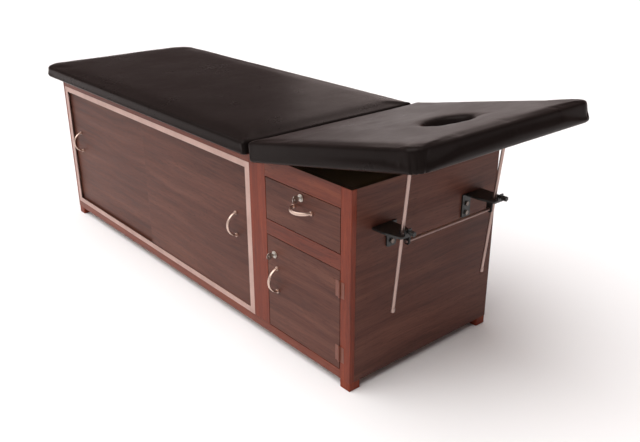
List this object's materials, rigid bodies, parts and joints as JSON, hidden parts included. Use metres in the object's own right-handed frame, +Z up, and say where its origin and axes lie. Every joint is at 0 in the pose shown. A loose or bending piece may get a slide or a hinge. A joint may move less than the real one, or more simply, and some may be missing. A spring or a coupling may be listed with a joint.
{
  "type": "medical examination table",
  "caption": "Cabinet-base examination couch with sliding doors, a drawer, a small cupboard and a padded head section that tilts up on prop rods.",
  "frame": {"origin": "on the floor, under the middle of the whole table's length and width", "axes": "+X towards the tilting head end, the doors face -Y, +Z up"},
  "size_m": [2.1891, 0.714, 0.8049],
  "materials": {
    "laminate": "dark walnut-grain laminate, satin, horizontal grain",
    "edging": "reddish-brown edged face frame, satin",
    "inner_board": "brown melamine-faced particle board",
    "deck_lining": "board lined in black under the head section",
    "plywood": "birch plywood",
    "door_trim": "champagne anodised aluminium extrusion",
    "satin_metal": "satin nickel",
    "bright_rod": "bright plated steel",
    "black_steel": "black enamel",
    "vinyl": "near-black grained vinyl",
    "zinc": "zinc plated",
    "hinge_steel": "plain bright steel",
    "nylon": "natural nylon",
    "foot_block": "stained wood block"
  },
  "bodies": {
    "carcass": {"back_panel": "inner_board", "base_panel": "inner_board", "bay_partition": "inner_board", "block_feet": "foot_block", "bottom_rail": "edging", "bracket_screws": "zinc", "cupboard_hinge_frame_leaves": "hinge_steel", "door_jamb_foot": "door_trim", "door_jamb_head": "door_trim", "door_track_bottom": "door_trim", "door_track_top": "door_trim", "drawer_bottom_rail": "edging", "drawer_runners": "inner_board", "drawer_shelf": "inner_board", "drawer_top_rail": "edging", "foot_end_panel": "laminate", "foot_stile": "edging", "front_guide_bracket": "black_steel", "head_end_panel": "laminate", "head_hinge_fixed_leaves": "hinge_steel", "head_stile": "edging", "main_cushion": "vinyl", "main_pad_board": "plywood", "middle_stile": "edging", "rear_guide_bracket": "black_steel", "storage_shelf": "inner_board", "tie_bar": "bright_rod", "top_deck": "deck_lining", "top_rail": "edging"},
    "head_section": {"head_board": "plywood", "head_cushion": "vinyl", "head_hinge_moving_leaves": "hinge_steel", "rod_eye_lugs": "black_steel", "rod_pivot_pins": "zinc"},
    "front_prop": {"front_prop_rod": "bright_rod"},
    "rear_prop": {"rear_prop_rod": "bright_rod"},
    "front_door": {"front_sliding_door": "laminate", "front_door_glides": "nylon", "front_door_handle": "satin_metal"},
    "rear_door": {"rear_sliding_door": "laminate", "rear_door_glides": "nylon", "rear_door_handle": "satin_metal"},
    "drawer": {"drawer_front": "laminate", "drawer_foot_side": "plywood", "drawer_head_side": "plywood", "drawer_back": "plywood", "drawer_bottom": "plywood", "drawer_handle": "satin_metal", "drawer_lock_body": "satin_metal"},
    "drawer_lock": {"drawer_lock_cam": "zinc", "drawer_key": "satin_metal"},
    "cupboard": {"cupboard_door": "laminate", "cupboard_hinge_door_leaves": "hinge_steel", "cupboard_handle": "satin_metal", "cupboard_lock_body": "satin_metal"},
    "cupboard_lock": {"cupboard_lock_cam": "zinc", "cupboard_key": "satin_metal"},
    "front_clamp": {"front_thumb_screw": "black_steel"},
    "rear_clamp": {"rear_thumb_screw": "black_steel"}
  },
  "joints": [
    {"name": "head_tilt", "type": "hinge", "parent": "carcass", "child": "head_section", "pos_m": [0.41894, 0, 0.641], "axis": [0, -1, 0], "range_deg": [-11.6, 24]},
    {"name": "front_prop_swing", "type": "hinge", "parent": "head_section", "child": "front_prop", "pos_m": [0.92008, -0.194, 0.70263], "axis": [0, -1, 0], "range_deg": [-12, 6]},
    {"name": "rear_prop_swing", "type": "hinge", "parent": "head_section", "child": "rear_prop", "pos_m": [0.92008, 0.194, 0.70263], "axis": [0, -1, 0], "range_deg": [-12, 6]},
    {"name": "front_door_slide", "type": "slide", "parent": "carcass", "child": "front_door", "axis": [1, 0, 0], "range_m": [-0.57, 0]},
    {"name": "rear_door_slide", "type": "slide", "parent": "carcass", "child": "rear_door", "axis": [1, 0, 0], "range_m": [0, 0.57]},
    {"name": "drawer_slide", "type": "slide", "parent": "carcass", "child": "drawer", "axis": [0, -1, 0], "range_m": [0, 0.38]},
    {"name": "drawer_lock_turn", "type": "hinge", "parent": "drawer", "child": "drawer_lock", "pos_m": [0.61144, -0.305, 0.54], "axis": [0, -1, 0], "range_deg": [0, 90]},
    {"name": "cupboard_door_swing", "type": "hinge", "parent": "carcass", "child": "cupboard", "pos_m": [0.77944, -0.3082, 0.2165], "axis": [0, 0, 1], "range_deg": [0, 110]},
    {"name": "cupboard_lock_turn", "type": "hinge", "parent": "cupboard", "child": "cupboard_lock", "pos_m": [0.48044, -0.305, 0.317], "axis": [0, 1, 0], "range_deg": [0, 90]},
    {"name": "front_clamp_turn", "type": "hinge", "parent": "carcass", "child": "front_clamp", "pos_m": [0.92244, -0.194, 0.507], "axis": [1, 0, 0], "range_deg": [0, 720]},
    {"name": "rear_clamp_turn", "type": "hinge", "parent": "carcass", "child": "rear_clamp", "pos_m": [0.92244, 0.194, 0.507], "axis": [1, 0, 0], "range_deg": [0, 720]}
  ],
  "couplings": [
    {"joint": "front_prop_swing", "follows": "head_tilt", "ratio": -0.485},
    {"joint": "rear_prop_swing", "follows": "head_tilt", "ratio": -0.485}
  ]
}
